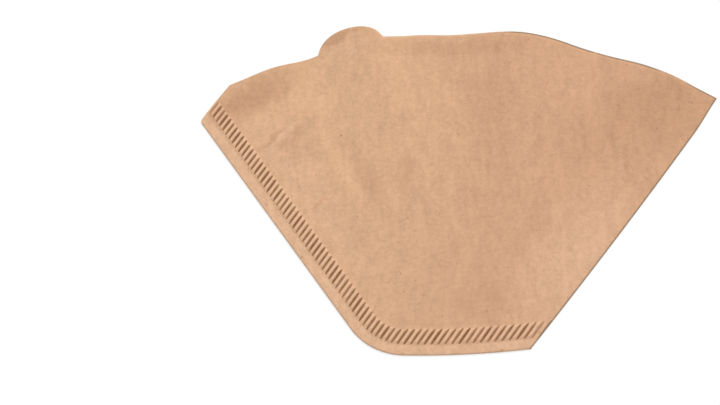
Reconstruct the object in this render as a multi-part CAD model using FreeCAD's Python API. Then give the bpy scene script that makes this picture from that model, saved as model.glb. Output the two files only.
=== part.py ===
"""A cone-shaped paper coffee filter, lying flat as it comes out of its pack.

One sheet of filter paper is folded in two. The fold is the right edge. The left edge and the bottom
edge are crimped, and the fourth side is the open mouth. The upper ply carries a small lobe that a
thumb lifts to open the filter, and it stands a little above the lower ply towards the mouth.

Millimetres and degrees. The outline is drawn from the point where the seam and the fold would meet,
with +Y up the middle of the cone and +X towards the fold, and is then moved so that the origin lies
at the middle of the underside. +Z is up.
"""
import FreeCAD, Part
import math
import os

V = FreeCAD.Vector

# The paper
PAPER = 0.20               # one ply
CLOSED_GAP = 0.15          # between two plies that lie on each other, and inside the fold

# The outline
HALF_ANGLE = 34.1          # from the middle line to the seam, and to the fold
FOLD_START = 45.4          # along the fold, from the meeting point to the bottom edge
FOLD_END = 154.7           # along the fold, from the meeting point to the mouth
SEAM_START = 42.1          # along the seam, to where the bottom edge would meet it
SEAM_END = 140.8           # along the seam, to the cut-off corner
CORNER_CUT = 16.5          # length of the slanting cut from the seam to the mouth
CUT_ROUNDING = 1.8         # radius where the seam turns into the slanting cut
MOUTH_RADIUS = 154.0       # radius of the mouth's edge
BOTTOM_RADIUS = 262.0      # radius of the bottom edge
SEAM_ROUNDING = 19.5       # radius where the seam turns into the bottom edge

# The lobe on the upper ply, seen from the centre of the mouth's arc
LOBE_TURN = 14.5           # from the +Y direction, towards the seam
LOBE_RADIUS = 12.4         # radius of its rounded end
LOBE_RISE = 5.9            # how far it stands past the mouth's edge
LOBE_FOOT_SEAM = 1.6       # hollow radius at its foot on the seam's side
LOBE_FOOT_FOLD = 3.2       # hollow radius at its foot on the fold's side

# The crimp along the seam and the bottom edge
CRIMP_MARGIN = 3.7         # plain paper outside the crimp
CRIMP_WIDTH = 5.1          # width of the crimped band
RIDGE_DIRECTION = 58.4     # direction of every ridge, from +X
RIDGE_PITCH = 1.75         # from one ridge to the next
RIDGE_WIDTH = 1.15         # width of one ridge at its foot
RIDGE_CREST = 0.40         # width of its top
RIDGE_HEIGHT = 0.30        # how far a ridge is pressed up
RIDGE_END_GAP = 0.6        # between the crimped band and the fold, and the slanting cut

# The open pocket between the plies
MOUTH_GAP = 2.8            # how far the upper ply is lifted at the mouth
MOUTH_LIFT_WIDTH = 150.0   # how wide the lift is at the mouth
CREST_TURN = 6.0           # from the +Y direction to the line where it is highest, towards the fold
LIFT_RUN_OUT = 38.0        # how far the lift's cylinder is drawn past each side of the lift

OVERRUN = 6.0              # how far tools reach past the edge that they cut
REACH = 300.0              # longer than anything on the filter

# Derived directions, heights and points
HALF = math.radians(HALF_ANGLE)
SEAM = V(-math.sin(HALF), math.cos(HALF), 0)
FOLD = V(math.sin(HALF), math.cos(HALF), 0)
SEAM_INWARD = V(math.cos(HALF), math.sin(HALF), 0)
FOLD_INWARD = V(-math.cos(HALF), math.sin(HALF), 0)
RIDGE = V(math.cos(math.radians(RIDGE_DIRECTION)), math.sin(math.radians(RIDGE_DIRECTION)), 0)
ACROSS_RIDGE = V(RIDGE.y, -RIDGE.x, 0)
CLOSED_STACK = 2 * PAPER + CLOSED_GAP
CRIMP_INNER = CRIMP_MARGIN + CRIMP_WIDTH
FOLD_BOTTOM = FOLD * FOLD_START
FOLD_TOP = FOLD * FOLD_END
SEAM_TOP = SEAM * SEAM_END
CUT_TOP = SEAM_TOP + RIDGE * CORNER_CUT


def centre_of_arc(left, right, radius):
    """The centre of a circle of this radius through two points, to the left of the way from one
    to the other."""
    chord = right - left
    height = math.sqrt(radius ** 2 - (chord.Length / 2) ** 2)
    sideways = V(-chord.y, chord.x, 0).normalize()
    return (left + right) * 0.5 + sideways * height


def circles_meet(first, first_radius, second, second_radius, sign):
    """One of the two points at the given distances from two centres; sign picks the side."""
    between = second - first
    along = (between.Length ** 2 + first_radius ** 2 - second_radius ** 2) / (2 * between.Length)
    aside = math.sqrt(first_radius ** 2 - along ** 2)
    unit = V(between).normalize()
    return first + unit * along + V(-unit.y, unit.x, 0) * (sign * aside)


def towards(start, end):
    """The unit vector from one point to another."""
    return (end - start).normalize()


def arc(centre, radius, start, end):
    """The shorter arc about a centre, between two points on it."""
    middle = centre + towards(centre, (start + end) * 0.5) * radius
    return Part.Arc(start, middle, end).toShape()


def line(start, end):
    return Part.LineSegment(start, end).toShape()


def prism(edges, low, high):
    """A closed flat outline, drawn at height zero, raised between two heights."""
    face = Part.Face(Part.Wire(edges))
    face.translate(V(0, 0, low))
    return face.extrude(V(0, 0, high - low))


BOTTOM_CENTRE = centre_of_arc(SEAM * SEAM_START, FOLD_BOTTOM, BOTTOM_RADIUS)
MOUTH_CENTRE = centre_of_arc(FOLD_TOP, CUT_TOP, MOUTH_RADIUS)


def rounding_centre():
    """The centre of the rounding between the seam and the bottom edge: it lies inside the seam by
    its radius and inside the bottom arc by its radius."""
    start = SEAM_INWARD * SEAM_ROUNDING - BOTTOM_CENTRE
    half_b = start.dot(SEAM)
    rest = start.dot(start) - (BOTTOM_RADIUS - SEAM_ROUNDING) ** 2
    along = -half_b - math.sqrt(half_b ** 2 - rest)
    return SEAM_INWARD * SEAM_ROUNDING + SEAM * along


ROUNDING_CENTRE = rounding_centre()


def seam_corner(offset):
    """The rounded corner between the seam and the bottom edge, drawn inwards by an offset: its end
    on the seam, its end on the bottom arc, and its edge."""
    radius = SEAM_ROUNDING - offset
    on_seam = ROUNDING_CENTRE - SEAM_INWARD * radius
    on_bottom = ROUNDING_CENTRE + towards(BOTTOM_CENTRE, ROUNDING_CENTRE) * radius
    return on_seam, on_bottom, arc(ROUNDING_CENTRE, radius, on_seam, on_bottom)


def bottom_end(offset):
    """A point on the bottom arc, drawn inwards by an offset, past the fold by the overrun."""
    past_fold = FOLD_BOTTOM + V(OVERRUN, 0, 0)
    return BOTTOM_CENTRE + towards(BOTTOM_CENTRE, past_fold) * (BOTTOM_RADIUS - offset)


def inside_seams(offset, low, high):
    """Everything that lies inside the seam and the bottom edge by at least the offset."""
    on_seam, on_bottom, corner = seam_corner(offset)
    far_seam = SEAM_INWARD * offset + SEAM * REACH
    far_fold = FOLD * REACH + V(OVERRUN, 0, 0)
    end = bottom_end(offset)
    edges = [line(far_seam, on_seam), corner]
    edges.append(arc(BOTTOM_CENTRE, BOTTOM_RADIUS - offset, on_bottom, end))
    edges += [line(end, far_fold), line(far_fold, far_seam)]
    return prism(edges, low, high)


def lobe_edges():
    """The lobe's outline from its foot on the fold's side to its foot on the seam's side: a round
    end with a hollow at each foot, tangent to it and to the mouth."""
    turn = math.radians(LOBE_TURN)
    outward = V(-math.sin(turn), math.cos(turn), 0)
    centre = MOUTH_CENTRE + outward * (MOUTH_RADIUS + LOBE_RISE - LOBE_RADIUS)
    feet = []
    for radius, sign in ((LOBE_FOOT_FOLD, -1), (LOBE_FOOT_SEAM, 1)):
        hollow = circles_meet(MOUTH_CENTRE, MOUTH_RADIUS + radius, centre, LOBE_RADIUS + radius, sign)
        on_mouth = MOUTH_CENTRE + towards(MOUTH_CENTRE, hollow) * MOUTH_RADIUS
        on_lobe = centre + towards(centre, hollow) * LOBE_RADIUS
        feet.append((on_mouth, on_lobe, arc(hollow, radius, on_mouth, on_lobe)))
    tip = centre + outward * LOBE_RADIUS
    end = Part.Arc(feet[0][1], tip, feet[1][1]).toShape()
    return feet[0][0], feet[1][0], [feet[0][2], end, feet[1][2]]


def outline(low, high):
    """The upper ply's outline with its lobe. It reaches past the fold, where the bend of the paper
    makes the edge."""
    on_seam, on_bottom, corner = seam_corner(0)
    end = bottom_end(0)
    past_fold = FOLD_TOP + V(OVERRUN, 0, 0)
    mouth_end = MOUTH_CENTRE + towards(MOUTH_CENTRE, past_fold) * MOUTH_RADIUS
    lobe_start, lobe_end, lobe = lobe_edges()
    half_turn = SEAM.getAngle(RIDGE) / 2
    setback = CUT_ROUNDING * math.tan(half_turn)
    before = SEAM_TOP - SEAM * setback
    after = SEAM_TOP + RIDGE * setback
    cut_centre = before + SEAM_INWARD * CUT_ROUNDING
    edges = [corner, arc(BOTTOM_CENTRE, BOTTOM_RADIUS, on_bottom, end), line(end, mouth_end)]
    edges.append(arc(MOUTH_CENTRE, MOUTH_RADIUS, mouth_end, lobe_start))
    edges += lobe
    edges.append(arc(MOUTH_CENTRE, MOUTH_RADIUS, lobe_end, CUT_TOP))
    edges += [line(CUT_TOP, after), arc(cut_centre, CUT_ROUNDING, after, before), line(before, on_seam)]
    return prism(edges, low, high)


def folded_plate(low, high):
    """A flat plate between two heights, endless towards the seam, whose other edge is the round
    bend of the fold. The bend's centre line is the same for every plate."""
    middle = (low + high) / 2
    radius = (high - low) / 2
    bend = FOLD_INWARD * (CLOSED_STACK / 2) - FOLD * REACH + V(0, 0, middle)
    far = bend + FOLD_INWARD * (2 * REACH)
    down = V(0, 0, -radius)
    round_edge = Part.Arc(bend + down, bend - FOLD_INWARD * radius, bend - down).toShape()
    edges = [line(far + down, bend + down), round_edge]
    edges += [line(bend - down, far - down), line(far - down, far + down)]
    return Part.Face(Part.Wire(edges)).extrude(FOLD * (3 * REACH))


def raised_ply(level, skin):
    """What the upper ply's lift adds above a level. Paper bends one way at a time, so the lift is
    part of a large cylinder. Its top line leaves the level at the base and climbs to the mouth, and
    the lift widens as it climbs. The skin keeps it clear of the crimp and of the fold."""
    turn = math.radians(CREST_TURN)
    along = V(math.sin(turn), math.cos(turn), 0)
    base = (SEAM * SEAM_START + FOLD_BOTTOM) * 0.5 + V(0, CRIMP_INNER, 0)
    length = MOUTH_RADIUS - (base - MOUTH_CENTRE).dot(along)
    rise = math.atan(MOUTH_GAP / length)
    radius = (MOUTH_LIFT_WIDTH / 2) ** 2 / (2 * MOUTH_GAP)
    climb = along * math.cos(rise) + V(0, 0, math.sin(rise))
    upward = V(0, 0, math.cos(rise)) - along * math.sin(rise)
    sideways = along.cross(V(0, 0, 1))
    start = base + V(0, 0, level) - climb * CRIMP_INNER
    half_width = MOUTH_LIFT_WIDTH / 2 + LIFT_RUN_OUT
    drop = upward * (radius - math.sqrt(radius ** 2 - half_width ** 2))
    ends = start - sideways * half_width - drop, start + sideways * half_width - drop
    edges = [Part.Arc(ends[0], start, ends[1]).toShape(), line(ends[1], ends[0])]
    run = CRIMP_INNER + length + LOBE_RISE + OVERRUN
    lift = Part.Face(Part.Wire(edges)).extrude(climb * run)
    lift = lift.common(inside_seams(CRIMP_INNER + skin, level - PAPER / 2, REACH))
    by_fold = FOLD_INWARD * (CLOSED_STACK / 2 + skin)
    corners = [by_fold + FOLD * REACH, by_fold + (FOLD + FOLD_INWARD) * REACH]
    corners += [by_fold + (FOLD_INWARD - FOLD) * REACH, by_fold - FOLD * REACH]
    edges = [line(corners[index - 1], corners[index]) for index in range(4)]
    return lift.common(prism(edges, -OVERRUN, REACH))


def folded_sheet():
    """The two plies and the fold, trimmed to the outline: an outer form less the pocket."""
    trim = outline(-OVERRUN, REACH)
    body = folded_plate(0, CLOSED_STACK).fuse(raised_ply(CLOSED_STACK, 0)).common(trim)
    pocket = folded_plate(PAPER, PAPER + CLOSED_GAP).fuse(raised_ply(PAPER + CLOSED_GAP, PAPER))
    pocket = pocket.common(inside_seams(CRIMP_INNER, -REACH, REACH))
    return body.cut(pocket).cut(under_lobe())


def under_lobe():
    """What the lower ply lacks below the lobe: all that lies past the mouth's arc, up to the
    pocket."""
    turn = math.radians(LOBE_TURN)
    half_width = (2 * LOBE_RADIUS + LOBE_FOOT_SEAM + LOBE_FOOT_FOLD) / MOUTH_RADIUS
    corners = []
    for radius in (MOUTH_RADIUS, MOUTH_RADIUS + LOBE_RISE + OVERRUN):
        for angle in (turn + half_width, turn - half_width):
            corners.append(MOUTH_CENTRE + V(-math.sin(angle), math.cos(angle), 0) * radius)
    outer_radius = MOUTH_RADIUS + LOBE_RISE + OVERRUN
    edges = [arc(MOUTH_CENTRE, MOUTH_RADIUS, corners[0], corners[1]), line(corners[1], corners[3])]
    edges += [arc(MOUTH_CENTRE, outer_radius, corners[3], corners[2]), line(corners[2], corners[0])]
    return prism(edges, -OVERRUN, PAPER + CLOSED_GAP / 2)


def crimp_band(low, high):
    """The band between the plain margin and the open plies. It stops short of the slanting cut and
    of the fold."""
    band = inside_seams(CRIMP_MARGIN, low, high)
    band = band.cut(inside_seams(CRIMP_INNER, low - OVERRUN, high + OVERRUN))
    by_cut = SEAM_TOP + ACROSS_RIDGE * RIDGE_END_GAP
    by_fold = FOLD_INWARD * RIDGE_END_GAP
    corners = [by_cut - RIDGE * REACH, by_cut + RIDGE * REACH]
    corners += [by_fold + FOLD * REACH, by_fold - FOLD * REACH]
    edges = [line(corners[index - 1], corners[index]) for index in range(4)]
    return band.common(prism(edges, low, high))


def wave(level, first, count):
    """The points along one side of the crimped plies: flat paper with a ridge at each pitch, at
    one level, from well before the first ridge to well past the last."""
    def at(across, height):
        return ACROSS_RIDGE * across - RIDGE * (REACH / 2) + V(0, 0, level + height)

    profile = ((-RIDGE_WIDTH / 2, 0), (-RIDGE_CREST / 2, RIDGE_HEIGHT))
    profile += ((RIDGE_CREST / 2, RIDGE_HEIGHT), (RIDGE_WIDTH / 2, 0))
    points = [at(first - REACH, 0)]
    for index in range(count):
        crest = first + index * RIDGE_PITCH
        points += [at(crest + across, height) for across, height in profile]
    points.append(at(first + count * RIDGE_PITCH + REACH, 0))
    return points


def crimp():
    """Both plies pressed into parallel ridges, as many whole ones as fit between the slanting cut
    and the fold."""
    edge = RIDGE_END_GAP + RIDGE_WIDTH
    first = SEAM_TOP.dot(ACROSS_RIDGE) + edge
    inner_end = FOLD * (FOLD_START + CRIMP_INNER / math.cos(HALF))
    last = min(FOLD_BOTTOM.dot(ACROSS_RIDGE), inner_end.dot(ACROSS_RIDGE)) - edge
    count = int((last - first) / RIDGE_PITCH) + 1
    around = wave(0, first, count) + wave(CLOSED_STACK, first, count)[::-1]
    plies = Part.Face(Part.makePolygon(around + around[:1])).extrude(RIDGE * REACH)
    return plies.common(crimp_band(-OVERRUN, OVERRUN)), count


def paper_filter():
    ridges, count = crimp()
    sheet = folded_sheet().cut(crimp_band(-OVERRUN, OVERRUN)).fuse(ridges).removeSplitter()
    box = sheet.optimalBoundingBox(False, False)
    sheet.translate(V(-box.Center.x, -box.Center.y, 0))
    print("ridges", count)
    print("the meeting point lies at", -box.Center.x, -box.Center.y)
    return sheet.Solids[0]


os.makedirs("parts", exist_ok=True)
solid = paper_filter()
solid.exportStep("parts/paper_filter.step")
print("solids", len(solid.Solids), "faces", len(solid.Faces), "valid", solid.isValid())
print("volume", solid.Volume, "box", solid.optimalBoundingBox(False, False))
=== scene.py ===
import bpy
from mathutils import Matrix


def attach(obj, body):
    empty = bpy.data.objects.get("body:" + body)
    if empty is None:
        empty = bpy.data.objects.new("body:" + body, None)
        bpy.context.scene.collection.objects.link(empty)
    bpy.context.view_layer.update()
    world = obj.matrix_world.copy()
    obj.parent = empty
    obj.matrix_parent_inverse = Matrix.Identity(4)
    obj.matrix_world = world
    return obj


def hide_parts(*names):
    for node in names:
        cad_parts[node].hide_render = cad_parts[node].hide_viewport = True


bl_info = {
    "name": "Paper Coffee Filter",
    "version": (1, 0, 0),
    "blender": (4, 5, 0),
    "location": "3D View > Sidebar > Coffee Filter",
    "description": "Folds a crimped coffee filter from one sheet of unbleached paper",
    "category": "Object",
}

import math
from functools import partialmethod

import bpy
import numpy as np
from mathutils import Vector

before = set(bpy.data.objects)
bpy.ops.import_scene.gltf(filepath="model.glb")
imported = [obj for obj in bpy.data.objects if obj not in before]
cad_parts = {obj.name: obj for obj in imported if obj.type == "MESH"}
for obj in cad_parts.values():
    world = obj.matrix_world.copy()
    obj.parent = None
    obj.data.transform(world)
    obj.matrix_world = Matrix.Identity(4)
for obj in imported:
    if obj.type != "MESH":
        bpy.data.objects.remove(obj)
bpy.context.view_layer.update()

NODE = "paper_filter"


def number(name, description, value, **more):
    """A number that a user may change."""
    return bpy.props.FloatProperty(name=name, description=description, default=value, **more)


def triple(name, description, value, **more):
    """Three numbers that a user may change."""
    return bpy.props.FloatVectorProperty(
        name=name, description=description, default=value, size=3, **more)


def length(name, description, value):
    """A length, in metres."""
    return number(name, description, value, min=0.0, unit="LENGTH", precision=5)


def turn(name, description, degrees):
    """An angle."""
    return number(name, description, math.radians(degrees), unit="ROTATION")


def colour(name, description, value):
    """A colour, in linear light."""
    return triple(name, description, value, min=0.0, max=1.0, subtype="COLOR")


class FilterShape(bpy.types.PropertyGroup):
    """The filter's sizes. Its outline starts at the point where seam and fold would meet."""
    paper: length("Paper", "Thickness of one ply", 0.00020)
    closed_gap: length("Closed gap", "Air between plies that lie on each other", 0.00015)
    half_angle: turn("Half angle", "From the middle line to the seam and to the fold", 34.1)
    fold_start: length("Fold start", "Along the fold, to the bottom edge", 0.0454)
    fold_end: length("Fold end", "Along the fold, to the mouth", 0.1547)
    fold_bow: length("Fold bow", "How far the fold's middle bows outwards", 0.0006)
    fold_nip: length("Fold nip", "How far the fold's top end leans inwards", 0.0007)
    seam_start: length("Seam start", "Along the seam, to the bottom edge's line", 0.0421)
    seam_end: length("Seam end", "Along the seam, to the cut-off corner", 0.1408)
    corner_cut: length("Corner cut", "Length of the slanting cut", 0.0165)
    cut_rounding: length("Cut rounding", "Radius where the seam meets the cut", 0.0018)
    mouth_radius: length("Mouth radius", "Radius of the mouth's edge", 0.1540)
    bottom_radius: length("Bottom radius", "Radius of the bottom edge", 0.2620)
    seam_rounding: length("Seam rounding", "Radius where the seam meets the bottom", 0.0195)
    lobe_turn: turn("Lobe turn", "From the middle line to the lobe, towards the seam", 14.25)
    lobe_radius: length("Lobe radius", "Radius of the arc that sets the lobe's width", 0.0130)
    lobe_rise: length("Lobe rise", "How far the lobe stands past the mouth", 0.0055)
    lobe_root: length("Lobe root", "How far inside the mouth the lobe's bend begins", 0.0100)
    lobe_curl: length("Lobe curl", "How far the lobe's tip curls up", 0.0004)
    mouth_gap: length("Mouth gap", "How far the upper ply is lifted at the mouth", 0.0028)
    lift_width: length("Lift width", "How wide the lift is at the mouth", 0.150)
    crest_turn: turn("Crest turn", "From the middle line to the lift's top line", 6.0)


class CrimpShape(bpy.types.PropertyGroup):
    """The crimped band that closes the seam and the bottom edge."""
    margin: length("Margin", "Plain paper outside the crimp", 0.0037)
    width: length("Width", "Width of the crimped band", 0.0051)
    direction: turn("Direction", "Direction of every ridge, from the X axis", 58.4)
    pitch: length("Pitch", "From one ridge to the next", 0.00175)
    height: length("Height", "From a groove's floor to a ridge's top", 0.00032)
    ridge_width: length("Ridge width", "Width of one ridge at its foot", 0.00115)
    end_gap: length("End gap", "From the band to the fold and to the cut", 0.0006)


class PaperColours(bpy.types.PropertyGroup):
    """The unbleached pulp's colours."""
    seam_side: colour("Seam side", "Paper near the seam", (0.700, 0.425, 0.248))
    fold_side: colour("Fold side", "Paper near the fold", (0.645, 0.370, 0.218))
    # Painted shade in the crimp's grooves, partly the pressed paper's own darker tone
    groove: colour("Groove", "Floor of a crimp's groove", (0.250, 0.112, 0.050))
    margin: colour("Margin", "Pressed paper outside the crimp", (0.760, 0.475, 0.300))
    # Used as a painted highlight on the crimp's crests and along the sheet's outer edge
    ridge: colour("Ridge", "Top of a crimp's ridge", (0.850, 0.560, 0.360))
    # Colour of the pulp's darker patches, also of painted shade in dents, creases, by the slanting
    # cut and at the lobe's curled tip
    stain_and_shade: colour("Stain", "Darker patches of pulp", (0.560, 0.310, 0.175))
    # Painted shade line along the fold and the mouth's right edge
    edge: colour("Edge", "Line along the fold and the mouth", (0.235, 0.165, 0.105))
    speck: colour("Speck", "Bark specks in the pulp", (0.330, 0.170, 0.085))
    mottling: number(
        "Mottling", "How cloudy the pulp is", 0.32, min=0.0, max=1.0, subtype="FACTOR")


class StageSettings(bpy.types.PropertyGroup):
    """The floor, the light and the camera."""
    floor: colour("Floor", "Colour of the floor", (0.90, 0.90, 0.90))
    floor_width: length("Floor width", "Width of the floor", 6.0)
    sky: number("Sky", "Strength of the even light", 0.62)
    key_power: number("Key power", "Power of the soft lamp", 15.0, unit="POWER")
    key_size: length("Key size", "Width of the soft lamp", 0.9)
    key_distance: length("Key distance", "From the filter to the soft lamp", 1.5)
    key_bearing: turn("Key bearing", "From +Y towards +X", 24.0)
    key_elevation: turn("Key elevation", "Above the floor", 42.0)
    lens: number("Lens", "Focal length for a frame 36 mm wide, in millimetres", 129.9)
    eye: triple(
        "Eye", "The camera, from the point where seam and fold would meet",
        (-0.01926, -0.31900, 0.70500), subtype="TRANSLATION", unit="LENGTH")
    aim: triple(
        "Aim", "What the camera looks at, from the same point", (-0.02743, 0.08796, 0.0),
        subtype="TRANSLATION", unit="LENGTH")


# How the mouth's edge waves: degrees from the middle line towards the seam, height and half width
# in degrees of each hill or hollow
MOUTH_WAVES = (
    (29.0, -0.0006, 4.0), (20.5, -0.0010, 3.5), (11.4, 0.0007, 2.6), (7.6, -0.0007, 2.4),
    (2.0, -0.0025, 4.2), (-7.0, 0.0017, 4.0), (-16.2, -0.0019, 4.2), (-25.5, 0.0009, 4.0))
# How far the mouth's edge is cut inside its arc: degrees, depth and half width in degrees
MOUTH_CUTS = ((20.0, 0.0014, 3.2), (28.0, 0.0004, 3.0))

# Soft dents in the upper ply: place from the meeting point, direction in degrees, half length,
# half width and height
DENTS = (
    ((-0.0561, 0.1103), 50.0, 0.0062, 0.0014, -0.00042),
    ((-0.0525, 0.1108), 50.0, 0.0065, 0.0016, 0.00060),
    ((-0.0494, 0.1100), 52.0, 0.0065, 0.0018, -0.00050),
    ((-0.0455, 0.1090), 52.0, 0.0070, 0.0024, 0.00040),
    ((-0.0360, 0.1030), 115.0, 0.0160, 0.0030, 0.00040),
    ((-0.0300, 0.0990), 118.0, 0.0150, 0.0040, -0.00040),
    ((-0.0085, 0.0960), 110.0, 0.0150, 0.0030, 0.00035),
    ((-0.0385, 0.0890), 33.0, 0.0060, 0.0009, -0.00030),
    ((0.0084, 0.1354), 20.0, 0.0040, 0.0012, 0.00020),
    ((0.0250, 0.0850), 70.0, 0.0300, 0.0070, 0.00040),
    ((0.0420, 0.1100), 60.0, 0.0250, 0.0060, -0.00040),
    ((0.0640, 0.1240), 35.0, 0.0160, 0.0070, -0.00060),
    ((-0.0620, 0.1250), 40.0, 0.0110, 0.0050, -0.00055),
    ((-0.0100, 0.1250), 85.0, 0.0140, 0.0040, 0.00030),
    ((0.0150, 0.0600), 20.0, 0.0160, 0.0050, 0.00025),
    ((-0.0250, 0.0650), 120.0, 0.0150, 0.0040, -0.00025),
)

# Soft patches, darker or paler: partly uneven pulp, partly painted shade in the dents, the creases
# and by the slanting cut, and painted light on a dent's ridge. Each: place from the meeting point,
# direction in degrees, half length, half width, and the share of the stain-and-shade or of the
# margin's colour
STAINS_AND_SHADE = (
    ((-0.0630, 0.1262), 35.0, 0.0150, 0.0055, 0.80),
    ((-0.0561, 0.1103), 50.0, 0.0060, 0.0011, 0.55),
    ((-0.0494, 0.1100), 52.0, 0.0062, 0.0020, 0.40),
    ((-0.0397, 0.0879), 30.7, 0.0048, 0.0006, 0.60),
    ((-0.0471, 0.0949), 84.0, 0.0026, 0.0006, 0.40),
    ((-0.0132, 0.0989), 76.0, 0.0085, 0.0022, 0.35),
    ((0.0700, 0.1240), 35.0, 0.0200, 0.0120, 0.85),
    ((0.0450, 0.1150), 60.0, 0.0260, 0.0100, 0.30),
    ((-0.0250, 0.0960), 118.0, 0.0140, 0.0030, 0.35),
    ((0.0130, 0.1140), 80.0, 0.0200, 0.0070, 0.20),
    ((0.0000, 0.1450), 2.0, 0.0250, 0.0025, 0.45),
)
PALE_AND_LIT_PATCHES = (
    ((-0.0525, 0.1108), 50.0, 0.0062, 0.0012, 0.50),
    ((0.0380, 0.0680), 56.0, 0.0260, 0.0120, 0.70),
    ((-0.0470, 0.0950), 124.0, 0.0300, 0.0080, 0.25),
    ((-0.0310, 0.1440), 15.0, 0.0080, 0.0030, 0.30),
)

# The lobe's form
LOBE_ROUNDNESS = 0.58  # power that shapes it: a half makes an ellipse, more slopes its sides
LOBE_CURL_POWER = 1.5  # how late its tip curls up
LOBE_CROWD = 0.012  # how much closer the columns lie there, as a length gained
LOBE_CROWD_WIDTH = 0.008  # how far to each side they do so

# The lifted mouth
HOLLOW_EASING = 0.0003  # how softly the lift leaves the flat
WAVES_START = 0.25  # where the mouth's waves begin, as a share of the way to the mouth
WAVES_POWER = 1.5  # how late they grow
DENT_DEPTH = 0.00002  # the most that dents press the upper ply down where it lies flat
CLEAR_WIDTH = 0.012  # how far from crimp and fold the upper ply is held down
TRIM_REACH = 3.0  # how far the mouth's cuts fade, in lobe roots

# The fold's line
BOW_FADE = 0.020  # how far across the ply the bow fades
NIP_START = 0.86  # where the nip begins, as a share of the way up the fold
NIP_FADE = 0.012  # how far across the ply it fades

# The crimp's wave, in pitches and in shares of the band
RIDGE_POWER = 0.8  # under 1 makes the ridges broader than the grooves
RIDGE_FADE = 0.35  # over how many pitches the wave starts and stops at the band's ends
RIDGE_START = 0.6  # how many pitches before the first ridge's middle and past the last one's
RIDGE_TAPER = 0.12  # share of the band over which a ridge fades to a point
EDGE_THINNING = 0.00012  # how much thinner the pressed edge is
EDGE_THINNED = 0.4  # over what share of the margin

# Slow unevenness: height, waves along X and Y in radians a metre, start, and sway
RIPPLES = (
    (0.00009, 210.0, 0.0, 0.0, 1.2), (0.00007, 95.0, 170.0, 2.1, 0.0),
    (0.00005, 410.0, -260.0, 0.7, 0.0))
SWAY_RATE, SWAY_START = 90.0, 0.4

# The pulp's noises: waves a metre, detail and roughness
NOISES = {
    "clouds": (55.0, 3.0, 0.55), "mottle": (700.0, 3.0, 0.65), "grain": (2600.0, 2.0, 0.6),
    "specks": (520.0, 1.0, 0.5)}
SPECK_FADE = (0.755, 0.80)  # values of the noise between which a speck fades in
# Noises drawn out in one direction: degrees, stretch and waves a metre
DRAWN_NOISES = {"blotches": (85.0, 1.7, 330.0), "streaks": (94.0, 5.0, 480.0)}
# Fibres: degrees, and the value that the noise has along a fibre, with its half width
FIBRES = ((12.0, 0.50, 0.035), (74.0, 0.52, 0.030), (131.0, 0.48, 0.030))
FIBRE_FORM = (7.0, 800.0)  # stretch and waves a metre
# How much each changes the tone and the bump
TONES = {"grain": 0.22, "clouds": 0.12, "streaks": 0.18, "blotches": 0.15}
HEIGHTS = {"mottle": 0.6, "grain": 0.4, "blotches": 0.8}
STRAND_TONE, STRAND_HEIGHT = 0.07, -0.35

# Where colours fade in, in metres or in rows: 0 at the sheet's edge, 1 and 2 at the edges of the
# crimped band, and 3 at the mouth
WANDER_SCALE, WANDER = 160.0, 0.006  # waves a metre and width of the patches' uneven edges
PATCH_FADE = (1.6, 0.2)  # in half lengths and half widths of a patch
THROUGH = 1000.0  # so high that a patch reaches through the sheet
DRIFT_FADE = (-0.045, 0.030)  # along X, from the seam side's colour to the fold side's
DRIFT_CLOUDS = 0.03  # how far the clouds shift that
MARGIN_FADE = (0.75, 1.02)  # rows
BAND_FADES = ((0.98, 1.06), (1.94, 2.0))  # rows at the start and the end of the band
RIM_SHIFT = 0.24  # in lobe radii, how far the painted shade rim's circle lies towards the fold
RIM_FADE = (0.76, 0.90)  # in lobe radii
RIM_BEYOND = (0.0006, 0.0026)  # past the mouth's arc
LIT_EDGE_FADE = (0.0, 0.07)  # rows
LIP_FADE = (2.9925, 2.9970)  # rows of the painted shade line along the mouth
LIP_RIGHT = (0.005, 0.020)  # where it starts along X
LIP_BREAKS = (0.35, 0.50)  # values of the clouds between which it fades in
FOLD_LINE = (0.0006, 0.0002)  # how far inside the fold its painted shade line fades in
# How much of the colours before it each colour covers: rim, lip and fold are painted shade, crest
# and lit edge are painted highlights
COVERS = {
    "margin": 0.85, "band": 0.425, "rim_shade": 0.65, "specks": 0.5, "crest": 0.75, "lit edge": 0.5,
    "lip_shade": 0.8, "fold": 0.75}

# The crimp's dark marks: painted shade in its grooves, partly the pressed paper's own darker tone
MARK_START = 1.05  # row where they start at the top of the seam
MARK_EARLIER = 0.13  # how many rows earlier they start along the bottom
MARK_CHANGE = (-0.075, -0.035)  # between which places along X that changes
MARK_TIP = (1.0, 0.97)  # in half lengths of a mark, where its end fades in
MARK_ROUNDING = 2.6  # power of the way along it that rounds its ends
MARK_WIDTH = 0.285  # half width in pitches
MARK_LEAST = 0.001  # the least half width
MARK_EDGE = (1.2, 0.25)  # in half widths, where its side fades in
WIDTH_BY_PULP, WIDTH_BY_CHANCE = 0.6, 0.16
DARKNESS, DARK_BY_CHANCE, DARK_BY_PULP = 0.55, 0.22, 0.6
DARK_BEYOND = 0.65  # how dark marks stay past the first and last ridge
FIRST_RIDGE, LAST_RIDGE = (-0.4, 0.1), (-0.1, 0.3)  # pitches over which the ridges start and stop
CREST_HIGHLIGHT_EDGE = (0.19, 0.03)  # in pitches, where a ridge's painted highlight fades in

# How finely the sheet and its outline are divided
COLUMNS_PER_PITCH = 10  # fine columns across one ridge
MERGED = 4  # fine columns that meet in one column past the crimp
POCKET_ROWS = 80  # rows from the crimp to the mouth
BEND_STEPS = 4  # steps round the bend of the fold
FINE_SAMPLES = 4000  # points along the mouth by which columns are spaced
EDGE_SAMPLES = 2000  # points along the mouth for the outline's box
MARGIN_ROWS = np.array([0.0, 0.12, 0.4, 0.7])
BAND_ROWS = np.array([0.0, 0.06, 0.12, 0.2, 0.3, 0.4, 0.5, 0.6, 0.7, 0.8, 0.88, 0.94, 1.0])


# Geometry on arrays, in metres

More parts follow.
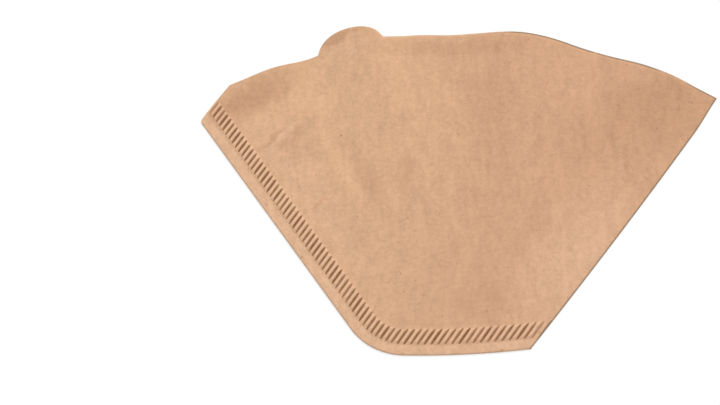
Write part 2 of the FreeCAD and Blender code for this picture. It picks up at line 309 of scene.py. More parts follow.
def unit(vector):
    return vector / np.linalg.norm(vector)


def smooth_step(values):
    """Rises from 0 to 1 as the values do, level at both ends: 3 x squared less 2 x cubed."""
    clipped = np.clip(values, 0.0, 1.0)
    return clipped * clipped * (3.0 - 2.0 * clipped)


def bell(values):
    """A smooth hill, 1 at zero: e to the power of minus the value squared."""
    return np.exp(-values * values)


def between(first, second, share):
    """The value at a share of the way from the first to the second."""
    return first + (second - first) * share


def eased_floor(heights, easing):
    """The larger of each height and zero, with the corner between them rounded off by a root."""
    return (heights + np.sqrt(heights ** 2 + easing ** 2)) / 2


def hills(angles, table):
    """Smooth hills and hollows added up, each with its angle in degrees, height and half width."""
    return sum(height * bell((np.degrees(angles) - middle) / half_width)
               for middle, height, half_width in table)


def heading(angle):
    """The direction at an angle from the X axis."""
    return np.array([math.cos(angle), math.sin(angle)])


def towards(angle):
    """The direction at an angle from the middle line, turned towards the seam."""
    return np.array([-math.sin(angle), math.cos(angle)])


def meet(start, way, centre, radius, side):
    """Where a line meets a circle: one of the two roots of a quadratic in the way along it."""
    away = start - centre
    half_b = away @ way
    root = math.sqrt(half_b ** 2 - away @ away + radius ** 2)
    return start + way * (side * root - half_b)


def centre_of_arc(left, right, radius):
    """The centre of a circle of this radius through two points, to the left of the way from one
    to the other."""
    chord = right - left
    height = math.sqrt(radius ** 2 - chord @ chord / 4)
    return (left + right) / 2 + unit(np.array([-chord[1], chord[0]])) * height


class Outline:
    """The flat outline of one ply. A point is given by how far it lies across the ridges and
    along them, so that every edge is a function of the way across."""

    def __init__(self, shape, crimp):
        self.shape = shape
        half = shape.half_angle
        self.seam, self.fold = towards(half), towards(-half)
        self.seam_inward = heading(half)
        self.fold_inward = np.array([-math.cos(half), math.sin(half)])
        self.along = heading(crimp.direction)
        self.across = np.array([self.along[1], -self.along[0]])
        self.stack = 2 * shape.paper + shape.closed_gap
        self.bend = self.fold_inward * (self.stack / 2)
        self.inner = crimp.margin + crimp.width
        self.seam_top = self.seam * shape.seam_end
        self.cut_top = self.seam_top + self.along * shape.corner_cut
        fold_bottom = self.fold * shape.fold_start
        seam_bottom = self.seam * shape.seam_start
        self.bottom_centre = centre_of_arc(seam_bottom, fold_bottom, shape.bottom_radius)
        self.mouth_centre = centre_of_arc(
            self.fold * shape.fold_end, self.cut_top, shape.mouth_radius)
        # The rounding's centre lies inside the seam and inside the bottom arc by its radius
        radius = shape.seam_rounding
        self.rounding_centre = meet(
            self.seam_inward * radius, self.seam, self.bottom_centre,
            shape.bottom_radius - radius, -1)
        self.lift_start = (seam_bottom + fold_bottom) / 2 + np.array([0.0, self.inner])

    def on_circle(self, across, centre, radius, side):
        """Where lines along the ridges meet a circle: past or before its centre by the root of
        the radius squared less the distance squared."""
        aside = across - centre @ self.across
        return centre @ self.along + side * np.sqrt(np.maximum(radius ** 2 - aside ** 2, 0.0))

    def lower_edge(self, across, inward):
        """How far along the ridges the seam and bottom edge lie, drawn inwards by a distance: the
        cut's rounding, the seam, the rounding at its foot, and the bottom arc in turn."""
        shape = self.shape
        seam_point = self.seam_inward * inward
        slope = (self.seam @ self.along) / (self.seam @ self.across)
        on_seam = seam_point @ self.along + (across - seam_point @ self.across) * slope
        radius = shape.seam_rounding - inward
        on_rounding = self.on_circle(across, self.rounding_centre, radius, -1)
        on_bottom = self.on_circle(across, self.bottom_centre, shape.bottom_radius - inward, -1)
        seam_end = (self.rounding_centre - self.seam_inward * radius) @ self.across
        outward = unit(self.rounding_centre - self.bottom_centre)
        rounding_end = (self.rounding_centre + outward * radius) @ self.across
        edge = np.where(across < rounding_end, on_rounding, on_bottom)
        edge = np.where(across < seam_end, on_seam, edge)
        if inward > 0:
            return edge
        small = shape.cut_rounding
        setback = small * math.tan(math.acos(self.seam @ self.along) / 2)
        before = self.seam_top - self.seam * setback
        on_cut = self.on_circle(across, before + self.seam_inward * small, small, -1)
        return np.where(across < before @ self.across, on_cut, edge)

    def fold_across(self, inward):
        """How far across the bend's line lies where it leaves the bottom arc drawn inwards."""
        reach = self.shape.bottom_radius - inward
        return meet(self.bend, self.fold, self.bottom_centre, reach, -1) @ self.across

    def points(self, across, along):
        return across[..., None] * self.across + along[..., None] * self.along

    def turn_at(self, points):
        """The angle of each point about the mouth's centre, from the middle line to the seam."""
        away = points - self.mouth_centre
        return np.arctan2(-away[..., 0], away[..., 1])

    def lift(self, points):
        """How far the upper ply lies above the closed plies: it climbs evenly along the crest's
        line, and falls off to each side as on a large cylinder, by the square of the way aside
        over twice the radius. Waves are added near the mouth."""
        shape = self.shape
        crest = towards(-shape.crest_turn)
        run = shape.mouth_radius - (self.lift_start - self.mouth_centre) @ crest
        radius = (shape.lift_width / 2) ** 2 / (2 * shape.mouth_gap)
        away = points - self.lift_start
        onward, aside = away @ crest, away @ np.array([crest[1], -crest[0]])
        height = onward * shape.mouth_gap / run - aside ** 2 / (2 * radius)
        height = eased_floor(height, HOLLOW_EASING)
        near = smooth_step((onward / run - WAVES_START) / (1 - WAVES_START)) ** WAVES_POWER
        waves = hills(self.turn_at(points), MOUTH_WAVES)
        return eased_floor(height + waves * near, HOLLOW_EASING)

    def lobe_reach(self, points):
        """How far the lobe stands past the mouth's arc at each point's angle, about as half an
        ellipse: its rise times one less the square of the way aside, to a power."""
        shape = self.shape
        aside = (self.turn_at(points) - shape.lobe_turn) * shape.mouth_radius
        depth = shape.lobe_radius - shape.lobe_rise
        half_width = math.sqrt(shape.lobe_radius ** 2 - depth ** 2)
        dome = np.maximum(1 - (aside / half_width) ** 2, 0.0)
        return shape.lobe_rise * dome ** LOBE_ROUNDNESS


def cells(grid):
    """The four-sided faces of a grid of vertex numbers."""
    corners = [grid[:-1, :-1], grid[:-1, 1:], grid[1:, 1:], grid[1:, :-1]]
    return np.stack(corners, -1).reshape(-1, 4)


def strip(first, second):
    """The four-sided faces between two rows of vertex numbers."""
    return cells(np.stack([first, second]))


def fan(fine_row, coarse_row):
    """Triangles that join every few fine columns to one coarse column."""
    starts = fine_row[:-1].reshape(-1, MERGED)
    ends = fine_row[1:].reshape(-1, MERGED)
    half = MERGED // 2
    left, right = coarse_row[:-1], coarse_row[1:]
    tris = [np.stack([starts[:, index], ends[:, index], left if index < half else right], -1)
            for index in range(MERGED)]
    return tris + [np.stack([ends[:, half - 1], right, left], -1)]


class Sheet:
    """The folded sheet's grids. A row runs from the slanting cut across the upper ply, round the
    fold, and back across the lower ply."""

    def __init__(self, shape, crimp):
        self.shape, self.crimp = shape, crimp
        self.flat = Outline(shape, crimp)
        self.verts, self.marks = [], []
        self.count = 0

    def add(self, points, marks):
        """Adds a grid of points, and returns their numbers in the same layout."""
        numbers = self.count + np.arange(points[..., 0].size).reshape(points.shape[:-1])
        self.verts.append(points.reshape(-1, 3))
        self.marks.append(marks.reshape(-1, 3))
        self.count += numbers.size
        return numbers

    def columns(self):
        """Where the columns start on the outer edge: a whole number of steps from the slanting cut
        to the fold, even across the ridges."""
        first = self.flat.seam_top @ self.flat.across
        last = self.flat.fold_across(0.0)
        steps = round((last - first) / self.crimp.pitch * COLUMNS_PER_PITCH / MERGED) * MERGED
        return np.linspace(first, last, steps + 1)

    def ridge_range(self):
        """The first ridge's middle and the number of ridges, as many whole ones as fit between the
        slanting cut and the fold."""
        flat, crimp = self.flat, self.crimp
        edge = crimp.end_gap + crimp.ridge_width
        first = flat.seam_top @ flat.across + edge
        bottom = (flat.fold * self.shape.fold_start) @ flat.across
        last = bottom - edge
        return first, int((last - first) / crimp.pitch) + 1

    def ridge_height(self, across, band):
        """The crimp's rise: a rounded wave across the ridges times a hump along them. The wave is a
        cosine raised to a power, and each ridge fades to a point at both ends of the band."""
        first, count = self.ridge_range()
        phase = (across - first) / self.crimp.pitch
        inside = smooth_step((phase + RIDGE_START) / RIDGE_FADE)
        inside = inside * smooth_step((count - 1 + RIDGE_START - phase) / RIDGE_FADE)
        wave = (0.5 + 0.5 * np.cos(2 * math.pi * phase)) ** RIDGE_POWER
        end = smooth_step(band / RIDGE_TAPER) * smooth_step((1 - band) / RIDGE_TAPER)
        return self.crimp.height * wave * end * inside

    def dents(self, points):
        """Soft dents: each a hill that is long one way and narrow the other."""
        total = np.zeros(points.shape[:-1])
        for place, degrees, half_length, half_width, rise in DENTS:
            away = points - np.array(place)
            lean = math.radians(degrees)
            onward, aside = away @ heading(lean), away @ towards(lean)
            total += rise * bell(onward / half_length) * bell(aside / half_width)
        return total

    def ripple(self, points):
        """Slow unevenness of a pressed sheet: sines of different lengths and directions, of which
        some sway with another sine."""
        x, y = points[..., 0], points[..., 1]
        sine = np.sin(y * SWAY_RATE + SWAY_START)
        total = np.zeros(x.shape)
        for height, x_rate, y_rate, begin, sway in RIPPLES:
            total += height * np.sin(x * x_rate + y * y_rate + begin + sway * sine)
        return total

    def closed_rows(self):
        """The rows of the margin and the crimped band. Returns the way across, the points and the
        row's number: 0 at the edge, 1 at the crimp and 2 at the open plies."""
        flat, crimp = self.flat, self.crimp
        start = self.columns()
        first, count = self.ridge_range()
        ridges_end = first + count * crimp.pitch - crimp.pitch / 2
        past = start - ridges_end
        lines = []
        for inward in (0.0, crimp.margin, flat.inner):
            stretch = (flat.fold_across(inward) - ridges_end) / past[-1]
            across = np.where(past > 0, ridges_end + past * stretch, start)
            lines.append((across, flat.lower_edge(across, inward)))
        shares = np.concatenate([MARGIN_ROWS, 1 + BAND_ROWS])[:, None]
        margin, band = np.clip(shares, 0, 1), np.clip(shares - 1, 0, 1)
        across = between(between(lines[0][0], lines[1][0], margin), lines[2][0], band)
        along = between(between(lines[0][1], lines[1][1], margin), lines[2][1], band)
        return across, flat.points(across, along), shares + 0 * across

    def mouth_columns(self, count):
        """Where the columns end on the mouth's arc. They lie closer together at the lobe: their
        number grows as the way across plus a smooth step there."""
        flat, shape = self.flat, self.shape
        outward = towards(shape.lobe_turn)
        lobe = (flat.mouth_centre + outward * shape.mouth_radius) @ flat.across
        fold_top = meet(flat.bend, flat.fold, flat.mouth_centre, shape.mouth_radius, 1)
        first, last = flat.cut_top @ flat.across, fold_top @ flat.across
        fine = np.linspace(first, last, FINE_SAMPLES)
        crowd = fine - first + LOBE_CROWD * (1 + np.tanh((fine - lobe) / LOBE_CROWD_WIDTH))
        crowd = (crowd - crowd[0]) / (crowd[-1] - crowd[0])
        across = np.interp(np.linspace(0, 1, count), crowd, fine)
        along = flat.on_circle(across, flat.mouth_centre, shape.mouth_radius, 1)
        return flat.points(across, along)

    def open_rows(self, start):
        """The rows past the crimp up to the mouth, as straight lines from each column's start to
        its end on the mouth."""
        shares = np.linspace(0, 1, POCKET_ROWS + 1)[1:, None, None]
        points = between(start, self.mouth_columns(len(start)), shares)
        return points, shares[..., 0] + 0 * start[:, 0]

    def push_out(self, points, way, root, power):
        """Moves points away from the mouth's centre: all the way at the mouth, and fading over a
        root inside it. Returns the way that they moved too."""
        outward = points - self.flat.mouth_centre
        radius = np.linalg.norm(outward, axis=-1)
        way = way * np.clip(1 - (self.shape.mouth_radius - radius) / root, 0, 1) ** power
        return points + outward * (way / radius)[..., None], way

    def reach_lobe(self, points):
        """Moves points outwards, so that those at the mouth follow the lobe."""
        return self.push_out(points, self.flat.lobe_reach(points), self.shape.lobe_root, 2)

    def trim_mouth(self, points):
        """Moves points inwards where the mouth is cut inside its arc."""
        depth = hills(self.flat.turn_at(points), MOUTH_CUTS)
        return self.push_out(points, -depth, self.shape.lobe_root * TRIM_REACH, 1)[0]

    def bow(self, points):
        """Bows the fold outwards: most at its middle, none at its ends, fading across the ply. Its
        top end leans inwards."""
        flat, shape = self.flat, self.shape
        along = (points @ flat.fold - shape.fold_start) / (shape.fold_end - shape.fold_start)
        inside = points @ flat.fold_inward
        push = shape.fold_bow * 4 * np.clip(along * (1 - along), 0, 1) * bell(inside / BOW_FADE)
        top_end = smooth_step((along - NIP_START) / (1 - NIP_START))
        push -= shape.fold_nip * top_end * bell(inside / NIP_FADE)
        return points - flat.fold_inward * push[..., None]

    def build(self):
        """Adds all grids: the closed rows' skin, the open rows' skin, and the pocket between the
        plies, which ends in one row of points at the crimp."""
        shape, flat = self.shape, self.flat
        stack, paper = flat.stack, shape.paper
        across, closed, share = self.closed_rows()
        self.origin = self.middle_of(closed)
        ridge = self.ridge_height(across, np.clip(share - 1, 0, 1))
        mark = self.mark(across, share, closed)
        thinning = EDGE_THINNING * (1 - smooth_step(share / EDGE_THINNED))
        upper = self.solid(closed, stack + ridge - thinning)
        lower = self.solid(closed, ridge + thinning / 2)
        closed_skin = self.round_fold(upper, lower, mark, stack / 2)

        start = closed[-1, ::MERGED]
        base, run = self.open_rows(start)
        lobed, reach = self.reach_lobe(base)
        lobed = self.trim_mouth(lobed)
        plain = self.trim_mouth(base)
        lift = flat.lift(lobed) + self.dents(lobed) + self.ripple(lobed)
        lift = eased_floor(lift * self.keep_clear(lobed), 2 * DENT_DEPTH) - DENT_DEPTH
        lift += shape.lobe_curl * smooth_step(reach / shape.lobe_rise) ** LOBE_CURL_POWER
        open_mark = self.mark(lobed @ flat.across, 2 + run, lobed)
        outer_top = self.solid(lobed, stack + lift)
        outer_low = self.solid(plain, np.zeros(run.shape))
        open_skin = self.round_fold(outer_top, outer_low, open_mark, stack / 2)
        inner_top = self.solid(lobed, stack - paper + lift)
        inner_low = self.solid(plain, np.full(run.shape, paper))
        pocket = self.round_fold(inner_top, inner_low, open_mark, shape.closed_gap / 2)
        end_mark = mark[-1, ::MERGED]
        pocket_end = self.add(self.solid(start, np.full(len(start), stack / 2)), end_mark)
        return self.faces(closed_skin, open_skin, pocket, pocket_end)

    def mark(self, across, share, points):
        """What the material needs at each point: the ridge's number, the row's number and the
        distance inside the fold."""
        ridge = (across - self.ridge_range()[0]) / self.crimp.pitch
        return np.stack([ridge, share, points @ self.flat.fold_inward], -1)

    def meeting_point(self):
        """Where the seam and the fold would meet, seen from the object's origin."""
        return -self.middle_of(self.closed_rows()[1])

    def middle_of(self, closed):
        """The middle of the flat outline's box, which is the object's origin."""
        end = self.reach_lobe(self.mouth_columns(EDGE_SAMPLES))[0]
        edge = np.concatenate([closed[0], end, [self.flat.fold * self.shape.fold_end]])
        return (edge.min(0) + edge.max(0)) / 2

    def solid(self, points, heights):
        """Flat points and heights as points in space, about the object's origin."""
        return np.concatenate([self.bow(points) - self.origin, heights[..., None]], -1)

    def keep_clear(self, points):
        """How free the upper ply is: not at all at the crimp and the fold, and fully a little way
        off."""
        flat = self.flat
        by_fold = points @ flat.fold_inward
        by_seam = points @ flat.seam_inward
        by_bottom = self.shape.bottom_radius - np.linalg.norm(points - flat.bottom_centre, axis=-1)
        near = np.minimum(by_seam, by_bottom) - flat.inner
        return smooth_step(by_fold / CLEAR_WIDTH) * smooth_step(near / CLEAR_WIDTH)

    def round_fold(self, upper, lower, mark, radius):
        """Joins the last columns of two plies by a half circle, and adds the whole grid."""
        angles = np.linspace(0, math.pi, BEND_STEPS + 1)[1:-1, None]
        top, low = upper[:, -1:], lower[:, -1:]
        out = np.array([*-self.flat.fold_inward, 0.0]) * radius
        bend = (top + low) / 2 + (top - low) / 2 * np.cos(angles) + out * np.sin(angles)
        points = np.concatenate([upper, bend, lower[:, ::-1]], 1)
        bend_mark = np.repeat(mark[:, -1:], len(angles), 1)
        marks = np.concatenate([mark, bend_mark, mark[:, ::-1]], 1)
        return self.add(points, marks)

    def faces(self, closed, opened, pocket, end):
        """All faces of the closed surface: the skins, the lips and the bends."""
        fine = (closed.shape[1] - BEND_STEPS + 1) // 2
        coarse = len(end)
        quads = [
            cells(closed), cells(opened), cells(pocket[::-1]),
            strip(closed[-1, fine - 1:-fine + 1], opened[0, coarse - 1:-coarse + 1]),
            strip(closed[0, ::-1][:fine], closed[0, :fine]),
            strip(opened[-1], pocket[-1]), strip(closed[:-1, 0], closed[:-1, -1]),
            strip(np.append(closed[-1, 0], opened[:, 0]), np.append(end[0], pocket[:, 0])),
            strip(np.append(end[0], pocket[:, -1]), np.append(closed[-1, -1], opened[:, -1])),
            strip(pocket[0, :coarse], end), strip(pocket[0, -coarse:], end[::-1])]
        turn_end = pocket[0, coarse - 1:-coarse + 1]
        tip = np.full(len(turn_end) - 1, end[-1])
        tris = [np.stack([turn_end[:-1], turn_end[1:], tip], -1)]
        tris += fan(closed[-1, :fine], opened[0, :coarse])
        tris += fan(closed[-1, -fine:], opened[0, -coarse:])
        cut_side = np.array([closed[-2, -1], closed[-2, 0], closed[-1, 0], end[0], closed[-1, -1]])
        fold_side = closed[0, fine - 1:-fine + 1][::-1]
        return quads, tris, [cut_side.tolist(), fold_side.tolist()]

    def mesh(self, name):
        """The mesh of all grids, with the crimp's own coordinates and the distance inside the fold
        as its UV maps."""
        quads, tris, special = self.build()
        faces = [*np.concatenate(quads).tolist(), *np.concatenate(tris).tolist(), *special]
        mesh = bpy.data.meshes.new(name)
        mesh.from_pydata(np.concatenate(self.verts), [], faces)
        marks = np.concatenate(self.marks)
        corners = np.empty(len(mesh.loops), dtype=np.int32)
        mesh.loops.foreach_get("vertex_index", corners)
        for title, pair in (("Crimp", marks[:, :2]), ("Fold", marks[:, [2, 2]])):
            layer = mesh.uv_layers.new(name=title)
            layer.data.foreach_set("uv", pair[corners].astype(np.float32).ravel())
        mesh.update()
        return mesh


# Shader maths

class Field:
    """A number, colour or vector that varies over the surface: a node's socket. The usual signs
    add Math nodes."""

    def __init__(self, tree, socket):
        self.tree, self.socket = tree, socket

    def math(self, operation, *others):
        values = dict(enumerate((self, *others)))
        return node(self.tree, "Math", {"operation": operation}, values)

    __add__ = __radd__ = partialmethod(math, "ADD")
    __mul__ = __rmul__ = partialmethod(math, "MULTIPLY")
    __sub__ = partialmethod(math, "SUBTRACT")
    __rsub__ = partialmethod(math, "MULTIPLY_ADD", -1.0)
    __truediv__ = partialmethod(math, "DIVIDE")
    __pow__ = partialmethod(math, "POWER")

    def axis(self, name):
        """One of a vector's three numbers."""
        return node(self.tree, "SeparateXYZ", {}, {0: self}, name)

    def clamp(self):
        """Kept from 0 to 1."""
        return self.math("MAXIMUM", 0.0).math("MINIMUM", 1.0)

    def step(self, start, end):
        """Rises smoothly from 0 at the start to 1 at the end."""
        settings = {"interpolation_type": "SMOOTHSTEP"}
        return node(self.tree, "MapRange", settings, {
            "Value": self, "From Min": start, "From Max": end})


def node(tree, kind, settings=None, values=None, output=0):
    """Adds a node: its settings first, then the values or links of its sockets. Returns one of
    its outputs."""
    new = tree.nodes.new(f"ShaderNode{kind}")
    for name, value in (settings or {}).items():
        setattr(new, name, value)
    for name, value in (values or {}).items():
        socket = new.inputs[name]
        if isinstance(value, Field):
            tree.links.new(value.socket, socket)
        else:
            socket.default_value = value
    return Field(tree, new.outputs[output]) if len(new.outputs) else None


def mix(tree, factor, first, second, blend="MIX"):
    """Mixes two colours: a colour is a Field or three numbers."""
    pair = [value if isinstance(value, Field) else (*value, 1.0) for value in (first, second)]
    settings = {"data_type": "RGBA", "blend_type": blend, "clamp_factor": True}
    values = {"Factor": factor, 6: pair[0], 7: pair[1]}
    return node(tree, "Mix", settings, values, 2)


def vector_math(tree, operation, *vectors, output="Vector"):
    """A sum with vectors, each a Field or three numbers."""
    values = dict(enumerate(vectors))
    return node(tree, "VectorMath", {"operation": operation}, values, output)


def noise(tree, vector, scale, detail=2.0, roughness=0.5, distortion=0.0, output=0):
    """Cloudy noise from about 0 to 1."""
    values = {"Vector": vector, "Scale": scale, "Detail": detail, "Roughness": roughness,
              "Distortion": distortion}
    return node(tree, "TexNoise", {}, values, output)


def stretched(tree, vector, degrees, stretch, scale):
    """Noise drawn out along one direction, as fibres lie."""
    turned = node(tree, "Mapping", {"vector_type": "TEXTURE"}, {
        "Vector": vector, "Rotation": (0.0, 0.0, math.radians(degrees)),
        "Scale": (stretch, 1.0, 1.0)})
    return noise(tree, turned, scale, detail=1.0, roughness=0.4, distortion=0.6)


def new_material(name):
    """A material with an empty node tree."""
    material = bpy.data.materials.new(name)
    material.use_nodes = True
    material.node_tree.nodes.clear()
    return material, material.node_tree


def patch(tree, place, spots, origin):
    """Soft patches: for each spot a hill that is long one way and narrow the other, all added
    up."""
    total = 0.0
    for (x, y), degrees, half_length, half_width, amount in spots:
        local = node(tree, "Mapping", {"vector_type": "TEXTURE"}, {
            "Vector": place, "Location": (x - origin[0], y - origin[1], 0.0),
            "Rotation": (0.0, 0.0, math.radians(degrees)),
            "Scale": (half_length, half_width, THROUGH)})
        away = vector_math(tree, "LENGTH", local, output="Value")
        total = away.step(*PATCH_FADE) * amount + total
    return total.clamp()


def way_from(tree, place, centre):
    """How far each point lies from a centre, seen from above."""
    flattened = vector_math(tree, "MULTIPLY", place, (1.0, 1.0, 0.0))
    return vector_math(tree, "DISTANCE", flattened, (*centre, 0.0), output="Value")


def lobe_tip_shade(tree, place, sheet):
    """Painted shade in a crescent along the lobe's round edge, where its tip curls up, widest
    towards the seam: the way from a middle that lies a little towards the fold, times the way past
    the mouth."""
    shape, lean, radius = sheet.shape, sheet.shape.lobe_turn, sheet.shape.lobe_radius
    mouth = sheet.flat.mouth_centre - sheet.origin
    middle = mouth + towards(lean) * (shape.mouth_radius + shape.lobe_rise - radius)
    middle = middle + heading(lean) * radius * RIM_SHIFT
    ring = way_from(tree, place, middle).step(radius * RIM_FADE[0], radius * RIM_FADE[1])
    beyond = way_from(tree, place, mouth) - shape.mouth_radius
    return ring * beyond.step(*RIM_BEYOND)


def pulp(tree, place):
    """The pulp's noises by name, with fibres where noises drawn out in three directions cross a
    value."""
    fields = {name: noise(tree, place, *values) for name, values in NOISES.items()}
    for name, values in DRAWN_NOISES.items():
        fields[name] = stretched(tree, place, *values)
    strands = 0.0
    for degrees, value, half_width in FIBRES:
        away = (stretched(tree, place, degrees, *FIBRE_FORM) - value).math("ABSOLUTE")
        strands = away.step(half_width, 0.0) + strands
    fields["strands"] = strands.clamp()
    return fields


def crimp_shade_and_highlights(tree, x, phase, band, mottle, last):
    """The crimp's painted shade in its grooves, partly the pressed paper's own darker tone, and
    painted highlights on its crests. A groove's shade is slim with round ends, halfway between two
    ridges, and it differs from the next by chance and with the pulp."""
    start = MARK_START - x.step(*MARK_CHANGE) * MARK_EARLIER
    middle, half_length = start * 0.5 + 1, 1 - start * 0.5
    along = (band - middle).math("ABSOLUTE") / half_length
    inside = along.step(*MARK_TIP)
    taper = (1 - along ** MARK_ROUNDING).clamp().math("SQRT")
    aside = (phase - 0.5).math("PINGPONG", 0.5)
    each = node(tree, "TexWhiteNoise", {"noise_dimensions": "1D"}, {
        "W": phase.math("FLOOR")}, "Value")
    uneven = 1 + (mottle - 0.5) * WIDTH_BY_PULP + (each - 0.5) * WIDTH_BY_CHANCE
    groove = (aside / (taper * uneven * MARK_WIDTH + MARK_LEAST)).step(*MARK_EDGE) * inside
    ended = phase.step(last + LAST_RIDGE[0], last + LAST_RIDGE[1])
    whole = phase.step(*FIRST_RIDGE) * (1 - ended)
    depth = each * DARK_BY_CHANCE + DARKNESS + mottle * DARK_BY_PULP
    groove = groove * between(DARK_BEYOND, 1.0, whole) * depth
    crest = (0.5 - aside).step(*CREST_HIGHLIGHT_EDGE) * inside * taper * whole
    return groove.clamp(), crest


def unbleached_paper(colours, sheet):
    """Unbleached filter paper: cloudy pulp with fibres and a few specks, and paler where the margin
    was pressed. The crimp's grooves are darkened with painted shade, partly the pressed paper's own
    tone. Its crests and the sheet's outer edge carry painted highlights. Painted shade lies at the
    lobe's curled tip, in soft patches at dents and creases, and in lines along the fold and the
    mouth. Each colour covers a share of those before."""
    origin, last = sheet.origin, sheet.ridge_range()[1] - 1
    material, tree = new_material("Unbleached paper")
    place = node(tree, "TexCoord", output="Object")
    crimp = node(tree, "UVMap", {"uv_map": "Crimp"})
    fold = node(tree, "UVMap", {"uv_map": "Fold"})
    x, from_fold, phase, band = place.axis("X"), fold.axis("X"), crimp.axis("X"), crimp.axis("Y")
    fields = pulp(tree, place)
    clouds, mottle = fields["clouds"], fields["mottle"]

    wander = noise(tree, place, WANDER_SCALE, output="Color")
    wander = vector_math(tree, "SUBTRACT", wander, (0.5, 0.5, 0.5))
    warped = vector_math(tree, "MULTIPLY_ADD", wander, (WANDER, WANDER, 0.0), place)
    drift = (x + (clouds - 0.5) * DRIFT_CLOUDS).step(*DRIFT_FADE)
    paper = mix(tree, drift, colours.seam_side, colours.fold_side)
    under_band = band.step(*BAND_FADES[0]) - band.step(*BAND_FADES[1])
    pressed = (1 - band.step(*MARGIN_FADE)) * COVERS["margin"] + under_band * COVERS["band"]
    # Paler patches: partly uneven pulp, partly painted light on a dent's ridge
    pale = patch(tree, warped, PALE_AND_LIT_PATCHES, origin)
    paper = mix(tree, (pressed + pale).clamp(), paper, colours.margin)
    # Painted shade in a crescent at the lobe's curled tip
    rim_shade = lobe_tip_shade(tree, warped, sheet) * COVERS["rim_shade"]
    # Soft patches that are partly stains and partly painted shade in the dents, the creases and by
    # the slanting cut
    stain_and_shade_mask = patch(tree, warped, STAINS_AND_SHADE, origin) + rim_shade
    paper = mix(tree, stain_and_shade_mask.clamp(), paper, colours.stain_and_shade)
    shade = 1 + (mottle - 0.5) * colours.mottling - fields["strands"] * STRAND_TONE
    for name, strength in TONES.items():
        shade = shade + (fields[name] - 0.5) * strength
    tone = node(tree, "CombineColor", {"mode": "RGB"}, {0: shade, 1: shade, 2: shade})
    paper = mix(tree, 1.0, paper, tone, "MULTIPLY")
    specks = fields["specks"].step(*SPECK_FADE)
    paper = mix(tree, specks * COVERS["specks"], paper, colours.speck)

    # Painted shade in the crimp's grooves, partly the pressed paper's darker tone, and painted
    # highlights on its crests
    groove, crest = crimp_shade_and_highlights(tree, x, phase, band, mottle, last)
    paper = mix(tree, crest * COVERS["crest"], paper, colours.ridge)
    paper = mix(tree, groove, paper, colours.groove)
    lit_edge = 1 - band.step(*LIT_EDGE_FADE)
    paper = mix(tree, lit_edge * COVERS["lit edge"], paper, colours.ridge)
    # Painted shade lines along the mouth's right edge and just inside the fold
    lip_shade = band.step(*LIP_FADE) * x.step(*LIP_RIGHT) * clouds.step(*LIP_BREAKS)
    lines = lip_shade * COVERS["lip_shade"] + from_fold.step(*FOLD_LINE) * COVERS["fold"]
    paper = mix(tree, lines.clamp(), paper, colours.edge)

    height = fields["strands"] * STRAND_HEIGHT
    for name, strength in HEIGHTS.items():
        height = height + fields[name] * strength
    normal = node(tree, "Bump", {}, {"Strength": 0.35, "Distance": 0.00010, "Height": height})
    shader = node(tree, "BsdfPrincipled", {}, {
        "Base Color": paper, "Roughness": 0.92, "Specular IOR Level": 0.25, "Normal": normal})
    node(tree, "OutputMaterial", {}, {"Surface": shader})
    return material


def plain_floor(floor_colour):
    """A pale matt floor. The camera sees half of it as white light, so that it reads as a white
    page and still shows the shadow."""
    material, tree = new_material("Plain floor")
    matt = node(tree, "BsdfDiffuse", {}, {"Color": (*floor_colour, 1.0)})
    page = node(tree, "Emission", {}, {"Color": (1.0, 1.0, 1.0, 1.0), "Strength": 1.15})
    half = node(tree, "MixShader", {}, {0: 0.5, 1: matt, 2: page})
    rays = node(tree, "LightPath").socket.node.outputs
    seen = sum(Field(tree, rays[f"Is {kind} Ray"]) for kind in ("Camera", "Glossy", "Transmission"))
    seen = seen.clamp()
    shader = node(tree, "MixShader", {}, {0: seen, 1: matt, 2: half})
    node(tree, "OutputMaterial", {}, {"Surface": shader})
    return material


# The operators

class OBJECT_OT_fold_filter(bpy.types.Operator):
    """Fold the filter from its sheet and give it its paper"""
    bl_idname = "coffee_filter.fold_filter"
    bl_label = "Fold Filter"

    def execute(self, context):
        scene = context.scene
        sheet = Sheet(scene.filter_shape, scene.crimp_shape)
        mesh = sheet.mesh("folded_paper")
        piece = bpy.data.objects.new("folded_paper", mesh)
        scene.collection.objects.link(piece)
        mesh.polygons.foreach_set("use_smooth", np.ones(len(mesh.polygons), dtype=bool))
        mesh.materials.append(unbleached_paper(scene.paper_colours, sheet))
        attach(piece, "root")
        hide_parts(NODE)
        return {"FINISHED"}


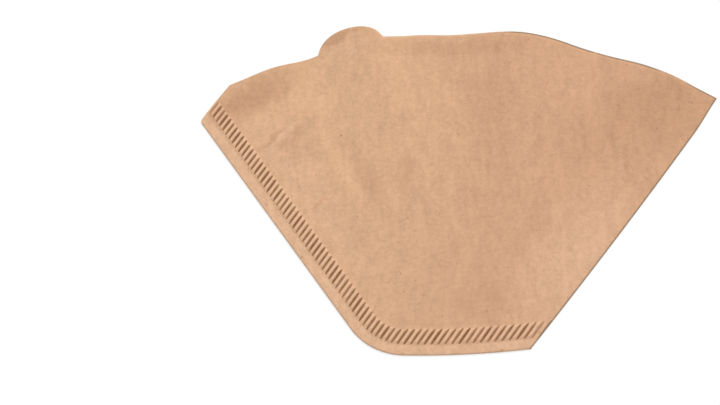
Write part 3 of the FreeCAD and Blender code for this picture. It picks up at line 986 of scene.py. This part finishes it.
class OBJECT_OT_set_stage(bpy.types.Operator):
    """Lay the floor, light it and place the camera"""
    bl_idname = "coffee_filter.set_stage"
    bl_label = "Set Stage"

    def execute(self, context):
        scene, stage = context.scene, context.scene.filter_stage
        self.add_floor(scene, stage)
        self.add_lights(scene, stage)
        self.add_camera(scene, stage)
        scene.view_settings.view_transform = "Standard"
        return {"FINISHED"}

    def add_floor(self, scene, stage):
        half = stage.floor_width / 2
        corners = [(-half, -half, 0), (half, -half, 0), (half, half, 0), (-half, half, 0)]
        mesh = bpy.data.meshes.new("floor")
        mesh.from_pydata(corners, [], [(0, 1, 2, 3)])
        mesh.materials.append(plain_floor(tuple(stage.floor)))
        floor = bpy.data.objects.new("floor", mesh)
        scene.collection.objects.link(floor)

    def add_lights(self, scene, stage):
        world = bpy.data.worlds.new("Even light")
        world.use_nodes = True
        light = world.node_tree.nodes["Background"].inputs
        light["Color"].default_value = (1.0, 1.0, 1.0, 1.0)
        light["Strength"].default_value = stage.sky
        scene.world = world
        lamp = bpy.data.lights.new("Soft lamp", "AREA")
        lamp.energy, lamp.size = stage.key_power, stage.key_size
        flat = math.cos(stage.key_elevation)
        away = Vector((math.sin(stage.key_bearing) * flat, math.cos(stage.key_bearing) * flat,
                       math.sin(stage.key_elevation)))
        holder = bpy.data.objects.new("Soft lamp", lamp)
        self.place(scene, holder, away * stage.key_distance, Vector())

    def add_camera(self, scene, stage):
        sheet = Sheet(scene.filter_shape, scene.crimp_shape)
        corner = Vector((*sheet.meeting_point(), 0.0))
        camera = bpy.data.cameras.new("Camera")
        camera.sensor_width, camera.lens = 36.0, stage.lens
        camera.clip_start, camera.clip_end = 0.01, 20.0
        holder = bpy.data.objects.new("Camera", camera)
        self.place(scene, holder, corner + Vector(stage.eye), corner + Vector(stage.aim))
        scene.camera = holder

    def place(self, scene, holder, place, aim):
        """Puts a lamp or camera at a place, looking at another."""
        holder.location = place
        holder.rotation_euler = (aim - place).to_track_quat("-Z", "Y").to_euler()
        scene.collection.objects.link(holder)


class VIEW3D_PT_coffee_filter(bpy.types.Panel):
    """The filter's sizes and colours"""
    bl_label = "Coffee Filter"
    bl_idname = "VIEW3D_PT_coffee_filter"
    bl_space_type = "VIEW_3D"
    bl_region_type = "UI"
    bl_category = "Coffee Filter"

    def draw(self, context):
        scene = context.scene
        for title, name, _, action in GROUPS:
            box = self.layout.box()
            box.label(text=title)
            settings = getattr(scene, name)
            for entry in settings.bl_rna.properties:
                if entry.identifier not in ("rna_type", "name"):
                    box.prop(settings, entry.identifier)
            if action:
                box.operator(action)


GROUPS = (
    ("Shape", "filter_shape", FilterShape, None),
    ("Crimp", "crimp_shape", CrimpShape, None),
    ("Paper", "paper_colours", PaperColours, "coffee_filter.fold_filter"),
    ("Stage", "filter_stage", StageSettings, "coffee_filter.set_stage"),
)
CLASSES = (
    FilterShape, CrimpShape, PaperColours, StageSettings, OBJECT_OT_set_stage,
    OBJECT_OT_fold_filter, VIEW3D_PT_coffee_filter)


def register():
    for new in CLASSES:
        bpy.utils.register_class(new)
    for _, name, group, _ in GROUPS:
        setattr(bpy.types.Scene, name, bpy.props.PointerProperty(type=group))


def unregister():
    for _, name, _, _ in GROUPS:
        delattr(bpy.types.Scene, name)
    for old in reversed(CLASSES):
        bpy.utils.unregister_class(old)


def main():
    register()
    bpy.ops.coffee_filter.set_stage()
    bpy.ops.coffee_filter.fold_filter()


if __name__ == "__main__":
    main()
